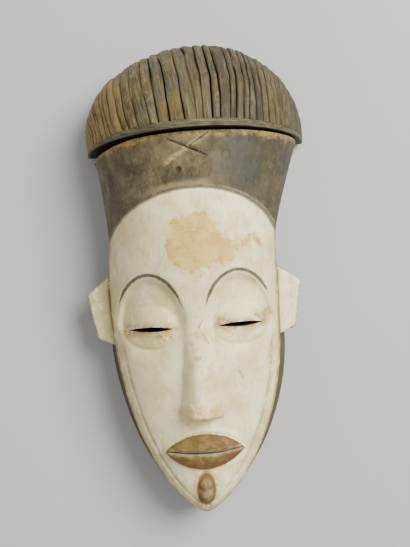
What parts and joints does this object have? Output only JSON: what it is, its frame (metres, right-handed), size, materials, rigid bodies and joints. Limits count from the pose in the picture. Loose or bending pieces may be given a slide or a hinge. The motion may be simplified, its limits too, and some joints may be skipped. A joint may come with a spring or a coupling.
{
  "type": "punu mask",
  "caption": "Carved wooden face mask, white face with closed slit eyes under a ribbed half-dome hair crest, hollow at the back, lying face up.",
  "frame": {"origin": "in the rim plane on the middle line, half way between the chin and the top of the crest", "axes": "+X to the viewer's right, +Y from the chin to the crest, +Z out through the face"},
  "size_m": [0.1638, 0.3426, 0.1138],
  "materials": {
    "carved_wood": "matt white clay over light wood, dark stained hair"
  },
  "bodies": {
    "root": {"mask": "carved_wood"}
  },
  "joints": []
}
